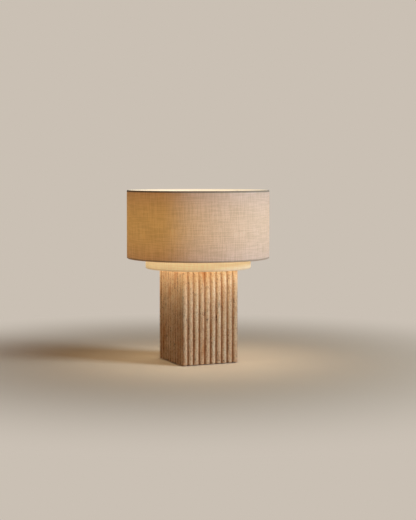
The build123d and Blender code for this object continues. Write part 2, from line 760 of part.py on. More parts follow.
def drum_liner(radius, bottom):
    """Stiff liner behind one drum's linen, standing between its two rings."""
    gap = 2 * ring_inset - LINEN
    return washer(radius - LINEN, radius - LINEN - LINER, bottom + gap, DRUM_HEIGHT - 2 * gap)


notch_out = LINEN + FIT / 2
inner_top = inner_bottom + DRUM_HEIGHT
outer_top = outer_bottom + DRUM_HEIGHT
arm_notch = (
    inner_wire - 3 * FRAME_WIRE, INNER_RADIUS - notch_out - LINER,
    inner_wire_low, inner_bottom + HEM + FRAME_WIRE,
)
link_start_notch = (
    inner_wire - FRAME_WIRE - LINEN, INNER_RADIUS - notch_out,
    inner_wire_high, inner_top + FIT,
)
link_end_notch = (
    outer_wire - 4 * FRAME_WIRE, OUTER_RADIUS - notch_out - LINER,
    outer_top - HEM - FRAME_WIRE, outer_wire_high + FRAME_WIRE - FIT,
)

finish(linen_drum(OUTER_RADIUS, outer_bottom, [link_end_notch]), "outer_linen")
finish(drum_liner(OUTER_RADIUS, outer_bottom), "outer_liner")
finish(linen_drum(INNER_RADIUS, inner_bottom, [arm_notch, link_start_notch]), "inner_linen")
finish(drum_liner(INNER_RADIUS, inner_bottom), "inner_liner")

# ---------------------------------------------------------------- bulb

with BuildPart() as bulb_contact:
    with BuildSketch(Plane.XY.offset(tip_bottom)):
        Circle(TIP_RADIUS)
    extrude(amount=TIP_HEIGHT)
    fillet(bulb_contact.faces().sort_by(Axis.Z)[0].edges(), radius=TIP_HEIGHT / 2)
finish(bulb_contact.part, "bulb_contact")

cap_root = CAP_RADIUS - CAP_THREAD_DEPTH
cap_bore = cap_root - CAP_WALL

with BuildPart() as cap_insulator:
    with BuildSketch(Plane.XZ):
        with BuildLine():
            Polyline(
                (0, tip_bottom + TIP_HEIGHT),
                (TIP_RADIUS, tip_bottom + TIP_HEIGHT),
                (cap_root, cap_bottom),
                (0, cap_bottom),
                close=True,
            )
        make_face()
    revolve(axis=Axis.Z)
finish(cap_insulator.part, "cap_insulator")

with BuildPart() as bulb_cap:
    with BuildSketch(Plane.XZ):
        with BuildLine():
            Line((cap_bore, cap_bottom), (cap_root, cap_bottom))
            for turn in range(CAP_TURNS):
                start = cap_bottom + turn * CAP_THREAD_PITCH
                ThreePointArc(
                    (cap_root, start),
                    (CAP_RADIUS, start + CAP_THREAD_PITCH / 2),
                    (cap_root, start + CAP_THREAD_PITCH),
                )
            Polyline(
                (cap_root, cap_bottom + CAP_TURNS * CAP_THREAD_PITCH),
                (NECK_RADIUS - BULB_WALL, cap_top),
                (cap_bore, cap_top),
                (cap_bore, cap_bottom),
            )
        make_face()
    revolve(axis=Axis.Z)
finish(bulb_cap.part, "bulb_cap")


def globe_radius(height):
    """Radius of the bulb's outer sphere at a height."""
    return sqrt(BULB_RADIUS**2 - (height - globe_centre)**2)


seam_radius = globe_radius(globe_bottom)
board_bottom = globe_bottom - BOARD_DEPTH
shelf_radius = seam_radius - BULB_WALL - BOARD_INSET

with BuildPart() as bulb_collar:
    with BuildSketch(Plane.XZ):
        with BuildLine():
            outside = Spline(
                (NECK_RADIUS, cap_top),
                (seam_radius, globe_bottom),
                tangents=[(0, 1), (globe_centre - globe_bottom, seam_radius)],
            )
            Line(outside @ 1, (seam_radius - BULB_WALL, globe_bottom))
            inside = Spline(
                (seam_radius - BULB_WALL, globe_bottom),
                (NECK_RADIUS - BULB_WALL, cap_top),
                tangents=[(globe_bottom - globe_centre, -seam_radius), (0, -1)],
            )
            Line(inside @ 1, outside @ 0)
        make_face()
    revolve(axis=Axis.Z)
    # Shelf that carries the LED board
    with BuildSketch(Plane.XY.offset(board_bottom)):
        Circle(shelf_radius)
        Circle(shelf_radius - BOARD_SHELF, mode=Mode.SUBTRACT)
    extrude(amount=-BULB_WALL)
finish(bulb_collar.part, "bulb_collar")

with BuildPart() as bulb_globe:
    with Locations((0, 0, globe_centre)):
        Sphere(BULB_RADIUS)
        Sphere(BULB_RADIUS - BULB_WALL, mode=Mode.SUBTRACT)
    split(bisect_by=Plane.XY.offset(globe_bottom), keep=Keep.TOP)
finish(bulb_globe.part, "bulb_globe")

with BuildPart() as led_board:
    with BuildSketch(Plane.XY.offset(board_bottom)):
        Circle(shelf_radius - LAY)
    extrude(amount=BOARD)
finish(led_board.part, "led_board")

with BuildPart() as driver_board:
    with BuildSketch(Plane.XY.offset(board_bottom)):
        Rectangle(DRIVER_WIDTH, DRIVER)
    extrude(amount=-DRIVER_LENGTH)
finish(driver_board.part, "driver_board")
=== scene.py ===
"""Looks of a column table lamp: reeded travertine, two linen drums, a lit bulb.

Everything is in metres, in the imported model's own frame: +Z up, with the origin at the centre of
the base.
"""

from __future__ import annotations

import logging
import math
from dataclasses import dataclass
from enum import Enum

import bmesh
import bpy
from mathutils import Euler, Matrix, Vector

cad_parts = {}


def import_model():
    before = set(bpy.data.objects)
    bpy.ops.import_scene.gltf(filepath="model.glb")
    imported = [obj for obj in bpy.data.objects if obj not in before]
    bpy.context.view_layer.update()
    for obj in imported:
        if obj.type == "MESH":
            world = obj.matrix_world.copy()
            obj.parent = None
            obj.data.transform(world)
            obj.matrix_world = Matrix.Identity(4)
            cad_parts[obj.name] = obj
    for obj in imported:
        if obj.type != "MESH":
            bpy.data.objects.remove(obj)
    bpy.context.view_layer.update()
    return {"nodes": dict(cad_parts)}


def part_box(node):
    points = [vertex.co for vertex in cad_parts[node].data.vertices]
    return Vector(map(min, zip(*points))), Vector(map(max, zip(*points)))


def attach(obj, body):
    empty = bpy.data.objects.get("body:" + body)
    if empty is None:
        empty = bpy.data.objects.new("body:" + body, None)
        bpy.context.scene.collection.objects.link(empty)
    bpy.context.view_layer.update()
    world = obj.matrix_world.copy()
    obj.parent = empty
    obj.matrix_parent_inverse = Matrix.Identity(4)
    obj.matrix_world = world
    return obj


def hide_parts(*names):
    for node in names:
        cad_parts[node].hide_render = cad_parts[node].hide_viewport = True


LOG = logging.getLogger("lamp")
MM = 0.001
PHOTO_LONG_SIDE = 520.0      # pixels
SENSOR = 36.0                # millimetres, along the picture's long side

Colour = tuple[float, float, float, float]
Triple = tuple[float, float, float]


def tint(red: float, green: float, blue: float) -> Colour:
    """Turn a display colour of 0 to 255 a channel into the linear colour that the shaders take.

    Args:
        red, green, blue: the colour as it should look on a display.

    Returns:
        The linear colour with an alpha of 1.
    """
    def linear(value: float) -> float:
        share = value / 255
        return share / 12.92 if share <= 0.04045 else ((share + 0.055) / 1.055) ** 2.4

    return linear(red), linear(green), linear(blue), 1.0


# ---------------------------------------------------------------- shader expressions


class Signal:
    """A number that varies over a surface. Arithmetic on it adds Math nodes to its material."""

    def __init__(self, paint: "Paint", socket: bpy.types.NodeSocket) -> None:
        """Wrap a socket of the material that paint fills."""
        self.paint = paint
        self.socket = socket

    def _maths(self, operation: str, *terms: "Signal | float", clamp: bool = False) -> "Signal":
        """Add one Math node over the terms and wrap its result."""
        node = self.paint.node(
            "ShaderNodeMath",
            {"operation": operation, "use_clamp": clamp},
            dict(enumerate(terms)),
        )
        return Signal(self.paint, node.outputs[0])

    def __add__(self, other: "Signal | float") -> "Signal":
        """Sum."""
        return self._maths("ADD", self, other)

    __radd__ = __add__

    def __mul__(self, other: "Signal | float") -> "Signal":
        """Product."""
        return self._maths("MULTIPLY", self, other)

    __rmul__ = __mul__

    def __sub__(self, other: "Signal | float") -> "Signal":
        """Difference."""
        return self._maths("SUBTRACT", self, other)

    def __rsub__(self, other: "Signal | float") -> "Signal":
        """Difference, with this signal taken away."""
        return self._maths("SUBTRACT", other, self)

    def __truediv__(self, other: "Signal | float") -> "Signal":
        """Quotient."""
        return self._maths("DIVIDE", self, other)

    def __abs__(self) -> "Signal":
        """Size without sign."""
        return self._maths("ABSOLUTE", self)

    def root(self) -> "Signal":
        """Square root."""
        return self._maths("SQRT", self)

    def wave(self) -> "Signal":
        """A wave from 0 to 1 with one crest for each whole number."""
        return self._maths("COSINE", self * math.tau) * 0.5 + 0.5

    def over(self, level: "Signal | float") -> "Signal":
        """1 where the signal is above a level and 0 elsewhere."""
        return self._maths("GREATER_THAN", self, level)

    def most(self, other: "Signal | float") -> "Signal":
        """The higher of two signals."""
        return self._maths("MAXIMUM", self, other)

    def clamped(self) -> "Signal":
        """The signal kept between 0 and 1."""
        return self._maths("ADD", self, 0.0, clamp=True)

    def step(self, low: float, high: float) -> "Signal":
        """A soft step that climbs from 0 to 1 between two levels, in either order."""
        node = self.paint.node(
            "ShaderNodeMapRange",
            {"interpolation_type": "SMOOTHSTEP"},
            {"Value": self, "From Min": low, "From Max": high},
        )
        return Signal(self.paint, node.outputs["Result"])


class Paint:
    """One material in the making: a Principled shader and the nodes that feed it."""

    def __init__(self, name: str, **constants: float | Colour) -> None:
        """Start a material.

        Args:
            name: the material's name.
            constants: values for the shader's own sockets, with _ for each space.
        """
        self.material = bpy.data.materials.new(name)
        self.material.use_nodes = True
        self.tree = self.material.node_tree
        self.tree.nodes.clear()
        self.shader = self.node("ShaderNodeBsdfPrincipled")
        self.output = self.node("ShaderNodeOutputMaterial")
        self.tree.links.new(self.shader.outputs["BSDF"], self.output.inputs["Surface"])
        for socket, value in constants.items():
            self.shader.inputs[socket.replace("_", " ")].default_value = value

    def node(
        self,
        kind: str,
        settings: dict[str, object] | None = None,
        sockets: dict[str | int, object] | None = None,
    ) -> bpy.types.Node:
        """Add a node.

        Args:
            kind: the node's type.
            settings: its properties, set first; "stops" gives a colour ramp's places and colours.
            sockets: a value, a Signal or a socket for each input, by name or number.

        Returns:
            The node.
        """
        made = self.tree.nodes.new(kind)
        for key, value in (settings or {}).items():
            if key == "stops":
                self._set_stops(made.color_ramp, value)
            else:
                setattr(made, key, value)
        for key, value in (sockets or {}).items():
            self.feed(made.inputs[key], value)
        return made

    @staticmethod
    def _set_stops(ramp: bpy.types.ColorRamp, stops: list[tuple[float, Colour]]) -> None:
        """Give a colour ramp its stops, in rising order."""
        while len(ramp.elements) < len(stops):
            ramp.elements.new(1.0)
        for element, (place, colour) in zip(ramp.elements, stops):
            element.position = place
            element.color = colour

    def feed(self, socket: bpy.types.NodeSocket, value: object) -> None:
        """Link a Signal or a socket to an input, or set the input to a plain value."""
        if isinstance(value, Signal):
            self.tree.links.new(value.socket, socket)
        elif isinstance(value, bpy.types.NodeSocket):
            self.tree.links.new(value, socket)
        else:
            socket.default_value = value

    def finish(self, **links: object) -> bpy.types.Material:
        """Feed the shader's sockets, with _ for each space, and return the material."""
        for socket, value in links.items():
            self.feed(self.shader.inputs[socket.replace("_", " ")], value)
        return self.material

    def place(self) -> bpy.types.NodeSocket:
        """Object coordinates, in metres."""
        return self.node("ShaderNodeTexCoord").outputs["Object"]

    def cloth_place(self) -> bpy.types.NodeSocket:
        """The piece's own map: metres round the drum, and metres up it."""
        return self.node("ShaderNodeUVMap", {"uv_map": "cloth"}).outputs["UV"]

    def parts(self, vector: bpy.types.NodeSocket) -> tuple[Signal, Signal, Signal]:
        """The three numbers of a vector."""
        split = self.node("ShaderNodeSeparateXYZ", None, {0: vector})
        return tuple(Signal(self, split.outputs[axis]) for axis in range(3))

    def stretched(self, vector: bpy.types.NodeSocket, scale: Triple) -> bpy.types.NodeSocket:
        """A vector with its three numbers scaled."""
        mapping = self.node("ShaderNodeMapping", None, {"Vector": vector, "Scale": scale})
        return mapping.outputs["Vector"]

    def length(self, vector: bpy.types.NodeSocket) -> Signal:
        """How long a vector is."""
        node = self.node("ShaderNodeVectorMath", {"operation": "LENGTH"}, {0: vector})
        return Signal(self, node.outputs["Value"])

    def noise(
        self,
        vector: bpy.types.NodeSocket,
        scale: float = 1.0,
        detail: float = 2.0,
        roughness: float = 0.5,
        distortion: float = 0.0,
    ) -> Signal:
        """Soft random clouds around 0.5."""
        node = self.node(
            "ShaderNodeTexNoise",
            None,
            {
                "Vector": vector,
                "Scale": scale,
                "Detail": detail,
                "Roughness": roughness,
                "Distortion": distortion,
            },
        )
        return Signal(self, node.outputs["Fac"])

    def ramp(self, value: Signal, stops: list[tuple[float, Colour]]) -> bpy.types.NodeSocket:
        """Colours along a value."""
        return self.node("ShaderNodeValToRGB", {"stops": stops}, {"Fac": value}).outputs["Color"]

    def mix(
        self,
        share: Signal | float,
        first: object,
        second: object,
        blend: str = "MIX",
    ) -> bpy.types.NodeSocket:
        """Two colours mixed, or blended in another way, by a share of the second."""
        node = self.node(
            "ShaderNodeMix",
            {"data_type": "RGBA", "blend_type": blend, "clamp_result": False},
            {0: share, 6: first, 7: second},
        )
        return node.outputs[2]

    def relief(self, height: Signal, depth: float, strength: float = 1.0) -> bpy.types.NodeSocket:
        """A bump whose height of 1 stands depth metres proud."""
        sockets = {"Height": height, "Distance": depth, "Strength": strength}
        return self.node("ShaderNodeBump", None, sockets).outputs["Normal"]


# ---------------------------------------------------------------- finishes


@dataclass(frozen=True)
class Pit:
    """One deep open hole in the stone: its place, and how far it reaches across and up."""

    centre: Triple
    across: float
    tall: float


@dataclass(frozen=True)
class Travertine:
    """Honed travertine: pale clouds, brown bedding, open pores, and painted shade between the
    reeds.
    """

    pale: Colour = tint(218, 198, 176)
    body: Colour = tint(202, 172, 143)
    brown: Colour = tint(173, 123, 74)
    pore: Colour = tint(98, 66, 42)
    # colour of the painted shade in the grooves between the reeds
    groove_shade: Colour = tint(150, 84, 24)
    crest: float = 74.6 * MM         # from the column's axis, where the painted groove shade ends
    root: float = 71.4 * MM          # and where the painted groove shade is full
    wander: float = 5.0 * MM         # how far a noise shifts the edge of the painted shade
    top: float = 238.0 * MM          # of the column, above the table
    unshaded_rim: float = 3.0 * MM      # below the top, where the painted shade starts to fade
    shade_strength: float = 0.74              # strength of the painted shade at the foot
    shade_fall: float = 0.46         # and how much less it is at the top, where the lamp's glow falls
    warp: float = 1.1 * MM           # depth of the worn surface
    pits: tuple[Pit, ...] = (
        Pit((15.5 * MM, -73.5 * MM, 112.0 * MM), 2.6 * MM, 10.0 * MM),
        Pit((-74.0 * MM, -60.5 * MM, 208.0 * MM), 3.0 * MM, 7.0 * MM),
        Pit((-74.0 * MM, 22.0 * MM, 64.0 * MM), 2.4 * MM, 6.0 * MM),
        Pit((37.0 * MM, 74.0 * MM, 150.0 * MM), 2.6 * MM, 9.0 * MM),
        Pit((74.0 * MM, -8.0 * MM, 88.0 * MM), 2.8 * MM, 8.0 * MM),
    )

    def holes(self, p: Paint, place: bpy.types.NodeSocket, ragged: Signal) -> Signal:
        """Where the deep pits lie, from 0 to 1, their edges broken by a noise."""
        found = None
        for pit in self.pits:
            offset = p.node(
                "ShaderNodeVectorMath",
                {"operation": "SUBTRACT"},
                {0: place, 1: pit.centre},
            )
            squeeze = (1 / pit.across, 1 / pit.across, 1 / pit.tall)
            reach = p.length(p.stretched(offset.outputs["Vector"], squeeze))
            hole = (reach + (ragged - 0.5) * 3.2).step(1.0, 0.7)
            found = hole if found is None else found.most(hole)
        return found

    def paint(self, name: str) -> bpy.types.Material:
        """Make the material."""
        p = Paint(name)
        place = p.place()

        def drawn(squash: float, *cloud: float) -> Signal:
            """A noise that is drawn out along the column by a squash below 1."""
            return p.noise(p.stretched(place, (1.0, 1.0, squash)), *cloud)

        across, along, height = p.parts(place)
        from_axis = abs(across).most(abs(along))
        ragged = (drawn(0.35, 210.0, 3.0, 0.6) - 0.5) * self.wander
        # Painted shade between the reeds: a mask of the grooves, faded out just under the top.
        in_groove = 1.0 - (from_axis + ragged).step(self.root, self.crest)
        in_groove = in_groove * (
            1.0 - height.step(self.top - self.unshaded_rim, self.top - self.unshaded_rim / 6)
        )
        clouds = drawn(0.30, 30.0, 4.0, 0.6, 0.4)
        bedding = drawn(0.10, 95.0, 3.0, 0.65, 0.5)
        speck = p.noise(place, 300.0, 3.0, 0.7)
        grain = p.noise(place, 1100.0, 2.0, 0.6)
        stone = p.ramp(
            (clouds * 0.55 + bedding * 0.45).step(0.32, 0.68),
            [(0.0, self.brown), (0.36, self.body), (0.60, self.body), (1.0, self.pale)],
        )
        crowd = p.noise(place, 30.0, 2.0, 0.5).step(0.42, 0.60)
        pin_pores = drawn(0.6, 360.0, 2.0, 0.6).step(0.62, 0.69)
        open_pores = drawn(0.45, 170.0, 3.0, 0.65, 0.6).step(0.615, 0.68)
        chips = drawn(0.7, 250.0, 2.0, 0.6).step(0.54, 0.62)
        chips = chips * in_groove * (1.0 - in_groove) * 4.0     # only at the edge of the painted groove shade
        pores = pin_pores * (crowd * 0.7 + 0.2) + open_pores * (crowd * 0.6 + 0.35) + chips * 0.6
        pores = (pores + self.holes(p, place, speck)).clamped()
        spots = p.ramp(speck, [(0.32, self.brown), (0.56, self.pale)])
        mottled = p.mix(0.58, stone, spots, "OVERLAY")
        wear = drawn(0.5, 120.0, 3.0, 0.6)
        rough = wear * 1.3 - pores * 0.9 + grain * 0.05 + speck * 0.16
        # Painted shade: the grooves darkened, most at the foot and least at the top.
        stain = in_groove * (self.shade_strength - height.step(0.0, self.top) * self.shade_fall)
        return p.finish(
            Base_Color=p.mix(pores * 0.8, p.mix(stain, mottled, self.groove_shade), self.pore),
            Roughness=0.60 + pores * 0.22 + grain * 0.12,
            Normal=p.relief(rough, self.warp),
        )


@dataclass(frozen=True)
class Linen:
    """Plain-woven linen with slubs, with a painted glow from the bulb behind it and painted shade
    on its rolled hems.
    """

    pale: Colour = tint(210, 200, 195)
    thread: Colour = tint(197, 179, 158)
    hem_shade: Colour = tint(150, 124, 98)         # painted shade on the hems, where the double cloth lets no light through
    glow_middle: Colour = tint(176, 122, 44)    # light through the cloth at half height
    glow_edge: Colour = tint(148, 91, 30)       # and at its edges
    bulb_side: Colour = tint(252, 236, 206)     # on the turned-in face of a hem
    glow: float = 0.81
    shaded: float = 0.36                        # share of the light that the slubs take
    hem_glow: float = 0.10                      # share that passes the upper hem
    low_hem_glow: float = 0.40                  # and the lower one
    hem: float = 4.6 * MM
    turned_from: float = 2.4 * MM               # inside the wall, where the bulb's side begins
    turned_to: float = 4.2 * MM
    pitch: float = 0.7 * MM                     # from thread to thread
    relief: float = 0.35 * MM

    def woven(self, p: Paint, cloth: bpy.types.NodeSocket) -> tuple[Signal, Signal]:
        """Find the threads' height and the slubs over the cloth, each from 0 to 1."""
        around, up, _ = p.parts(cloth)
        warp = (around / self.pitch).wave()
        weft = (up / self.pitch).wave()
        every_other = (around / self.pitch * 0.5).wave() - 0.5
        on_top = (every_other * ((up / self.pitch * 0.5).wave() - 0.5)).over(0.0)
        weave = warp * on_top + weft * (1.0 - on_top)
        along_weft, along_warp = (
            p.noise(p.stretched(cloth, scale), 1.0, 2.0, 0.55).step(0.38, 0.62)
            for scale in ((20.0, 330.0, 1.0), (330.0, 20.0, 1.0))
        )
        return weave, along_weft * 0.5 + along_warp * 0.5

    def paint(self, name: str, radius: float, bottom: float, top: float) -> bpy.types.Material:
        """Make the material for a drum that stands between two heights.

        Args:
            name: the material's name.
            radius: the drum's outer radius.
            bottom: the drum's lower edge.
            top: the drum's upper edge.

        Returns:
            The material.
        """
        p = Paint(name, Sheen_Weight=0.1, Sheen_Roughness=0.5, Emission_Strength=self.glow)
        cloth = p.cloth_place()
        weave, slubs = self.woven(p, cloth)
        drift = p.noise(cloth, 14.0, 2.0, 0.5)
        across, along, height = p.parts(p.place())
        from_axis = (across * across + along * along).root()
        turned_in = (radius - from_axis).step(self.turned_from, self.turned_to)
        off_middle = abs(height - (bottom + top) / 2) / ((top - bottom) / 2)
        # Painted glow: the bulb's light through the cloth, brightest at half height, dimmed by the
        # slubs and the hems.
        glow = p.mix((off_middle * off_middle).clamped(), self.glow_middle, self.glow_edge)
        under_top = (top - height).step(self.hem * 0.8, self.hem)
        over_foot = (height - bottom).step(self.hem * 0.8, self.hem)
        lit = (under_top * (1.0 - self.hem_glow) + self.hem_glow) * (
            over_foot * (1.0 - self.low_hem_glow) + self.low_hem_glow
        )
        passed = slubs * self.shaded + weave * 0.08 + drift * 0.12 + (0.89 - self.shaded / 2)
        passed = passed * lit
        dim = p.node("ShaderNodeCombineXYZ", None, dict.fromkeys(range(3), passed)).outputs[0]
        colour = p.mix((slubs * 0.8 + weave * 0.2).clamped(), self.thread, self.pale)
        # Painted shade on the hems: the base colour darkens where the double cloth lets no light
        # through.
        unshaded = (under_top * 0.75 + 0.25) * (over_foot * 0.5 + 0.5)
        return p.finish(
            Base_Color=p.mix(unshaded, self.hem_shade, colour),
            Roughness=0.86 + weave * 0.08,
            Emission_Color=p.mix(turned_in, p.mix(1.0, glow, dim, "MULTIPLY"), self.bulb_side),
            Normal=p.relief(weave * 0.4 + slubs * 0.6, self.relief),
        )


OUTER_LINEN = Linen()
INNER_LINEN = Linen(
    pale=tint(226, 215, 200),
    thread=tint(210, 196, 177),
    hem_shade=tint(210, 196, 177),
    glow_middle=tint(205, 175, 124),
    glow_edge=tint(200, 167, 114),
    shaded=0.20,
    hem_glow=0.72,
    low_hem_glow=0.72,
    glow=0.74,
)


@dataclass(frozen=True)
class Liner:
    """Smooth white liner behind the linen, bright with the bulb's light."""

    colour: Colour = tint(242, 239, 230)
    mottle: Colour = tint(232, 220, 198)
    light: Colour = tint(244, 224, 184)
    dusk: Colour = tint(240, 214, 170)
    glow: float = 0.28

    def paint(self, name: str) -> bpy.types.Material:
        """Make the material."""
        p = Paint(name, Emission_Strength=self.glow)
        place = p.place()
        mist = p.noise(place, 60.0, 3.0, 0.6)
        return p.finish(
            Base_Color=p.mix(mist * 0.4, self.colour, self.mottle),
            Roughness=0.5 + mist * 0.2,
            Emission_Color=p.mix(mist * 0.5, self.light, self.dusk),
            Normal=p.relief(p.noise(place, 500.0, 2.0), 0.05 * MM),
        )


@dataclass(frozen=True)
class Metal:
    """Bare or plated metal with a brushed or turned grain and a few stains."""

    colour: Colour
    stain: Colour
    roughness: float = 0.3
    grain: Triple = (900.0, 900.0, 60.0)

    def paint(self, name: str) -> bpy.types.Material:
        """Make the material."""
        p = Paint(name, Metallic=1.0)
        place = p.place()
        lines = p.noise(p.stretched(place, self.grain), 1.0, 3.0, 0.6)
        stains = p.noise(place, 80.0, 4.0, 0.6).step(0.45, 0.75)
        return p.finish(
            Base_Color=p.mix(stains * 0.6, self.colour, self.stain),
            Roughness=self.roughness + lines * 0.14 + stains * 0.10,
            Normal=p.relief(lines, 0.04 * MM),
        )


@dataclass(frozen=True)
class Moulding:
    """Moulded plastic, ceramic or coating: a fine skin, slightly mottled."""

    colour: Colour
    worn: Colour
    roughness: float = 0.4
    skin: float = 0.05               # millimetres deep
    coat: float = 0.0

    def paint(self, name: str) -> bpy.types.Material:
        """Make the material."""
        p = Paint(name, Coat_Weight=self.coat, Coat_Roughness=0.2)
        place = p.place()
        mottle = p.noise(place, 120.0, 4.0, 0.6)
        skin = p.noise(place, 1600.0, 2.0, 0.6)
        return p.finish(
            Base_Color=p.mix(mottle.step(0.4, 0.75) * 0.5, self.colour, self.worn),
            Roughness=self.roughness + mottle * 0.12 + skin * 0.05,
            Normal=p.relief(skin, self.skin * MM),
        )


@dataclass(frozen=True)
class Felt:
    """Pressed felt: matted fibres."""

    colour: Colour = tint(62, 56, 50)
    fibre: Colour = tint(96, 88, 78)

    def paint(self, name: str) -> bpy.types.Material:
        """Make the material."""
        p = Paint(name, Sheen_Weight=0.4)
        place = p.place()
        fibres = p.noise(place, 1500.0, 4.0, 0.75, 1.5)
        return p.finish(
            Base_Color=p.mix(fibres.step(0.4, 0.65), self.colour, self.fibre),
            Roughness=0.9 + fibres * 0.1,
            Normal=p.relief(fibres, 0.3 * MM),
        )


@dataclass(frozen=True)
class OpalBulb:
    """Frosted bulb, lit."""

    colour: Colour = tint(252, 246, 234)
    frosted: Colour = tint(236, 226, 208)
    light: Colour = tint(255, 226, 176)
    warm: Colour = tint(255, 214, 150)
    glow: float = 0.9

    def paint(self, name: str) -> bpy.types.Material:
        """Make the material."""
        p = Paint(name, Emission_Strength=self.glow)
        place = p.place()
        frost = p.noise(place, 700.0, 3.0, 0.6)
        return p.finish(
            Base_Color=p.mix(frost * 0.3, self.colour, self.frosted),
            Roughness=0.35 + frost * 0.15,
            Emission_Color=p.mix(frost * 0.3, self.light, self.warm),
            Normal=p.relief(frost, 0.02 * MM),
        )


class Plain(Enum):
    """Finishes of the small fittings."""

    BRASS = Metal(tint(206, 170, 104), tint(164, 124, 66), 0.26)
    BRUSHED_BRASS = Metal(tint(200, 166, 108), tint(170, 134, 80), 0.34, (70.0, 900.0, 900.0))
    ZINC = Metal(tint(196, 197, 200), tint(160, 160, 162), 0.32)
    NICKEL = Metal(tint(214, 212, 206), tint(186, 182, 174), 0.22)
    BLACK_PHENOLIC = Moulding(tint(30, 28, 27), tint(48, 45, 42), 0.30, 0.03, 0.4)
    BLACK_COATING = Moulding(tint(36, 35, 34), tint(56, 54, 52), 0.55, 0.14)
    WHITE_COATING = Moulding(tint(228, 224, 214), tint(210, 204, 190), 0.42, 0.05)
    WHITE_PLASTIC = Moulding(tint(232, 230, 224), tint(216, 212, 202), 0.42)
    CERAMIC = Moulding(tint(238, 234, 224), tint(220, 214, 200), 0.38, 0.05)
    BROWN_WIRE = Moulding(tint(104, 66, 42), tint(122, 84, 58), 0.5)
    BLUE_WIRE = Moulding(tint(52, 92, 158), tint(74, 112, 172), 0.5)
    BOARD = Moulding(tint(40, 110, 70), tint(60, 134, 90), 0.4)
    LED_BOARD = Moulding(tint(240, 238, 230), tint(224, 220, 206), 0.4)


# ---------------------------------------------------------------- mesh helpers


def as_object(name: str, mesh: bmesh.types.BMesh, material: bpy.types.Material) -> bpy.types.Object:
    """Turn a bmesh into a smooth-shaded object at the origin.

    Args:
        name: the piece's name.
        mesh: the bmesh, which is freed.
        material: the piece's finish.

    Returns:
        The new object.
    """
    data = bpy.data.meshes.new(name)
    for face in mesh.faces:
        face.smooth = True
    mesh.to_mesh(data)
    mesh.free()
    data.materials.append(material)
    made = bpy.data.objects.new(name, data)
    bpy.context.scene.collection.objects.link(made)
    return made


def repaint(node: bpy.types.Object, material: bpy.types.Material) -> None:
    """Give a CAD node one finish in all its slots."""
    if not node.material_slots:
        node.data.materials.append(material)
    for slot in node.material_slots:
        slot.material = material


def dress(nodes: dict[str, bpy.types.Object], finishes: dict[str, Plain]) -> None:
    """Paint small fittings, making each finish once."""
    for name, finish in finishes.items():
        key = finish.name.lower()
        repaint(nodes[name], bpy.data.materials.get(key) or finish.value.paint(key))


def add_light(
    name: str,
    kind: str,
    power: float,
    colour: Triple,
    place: Vector | Triple,
    **settings: object,
) -> bpy.types.Object:
    """Add a light to the scene.

    Args:
        name: the light's name.
        kind: the light's type.
        power: its power.
        colour: its colour.
        place: where it hangs.
        settings: its other properties.

    Returns:
        The light's object.
    """
    data = bpy.data.lights.new(name, kind)
    data.energy = power
    data.color = colour
    for key, value in settings.items():
        setattr(data, key, value)
    made = bpy.data.objects.new(name, data)
    made.location = place
    bpy.context.scene.collection.objects.link(made)
    return made


# ---------------------------------------------------------------- sub-assemblies


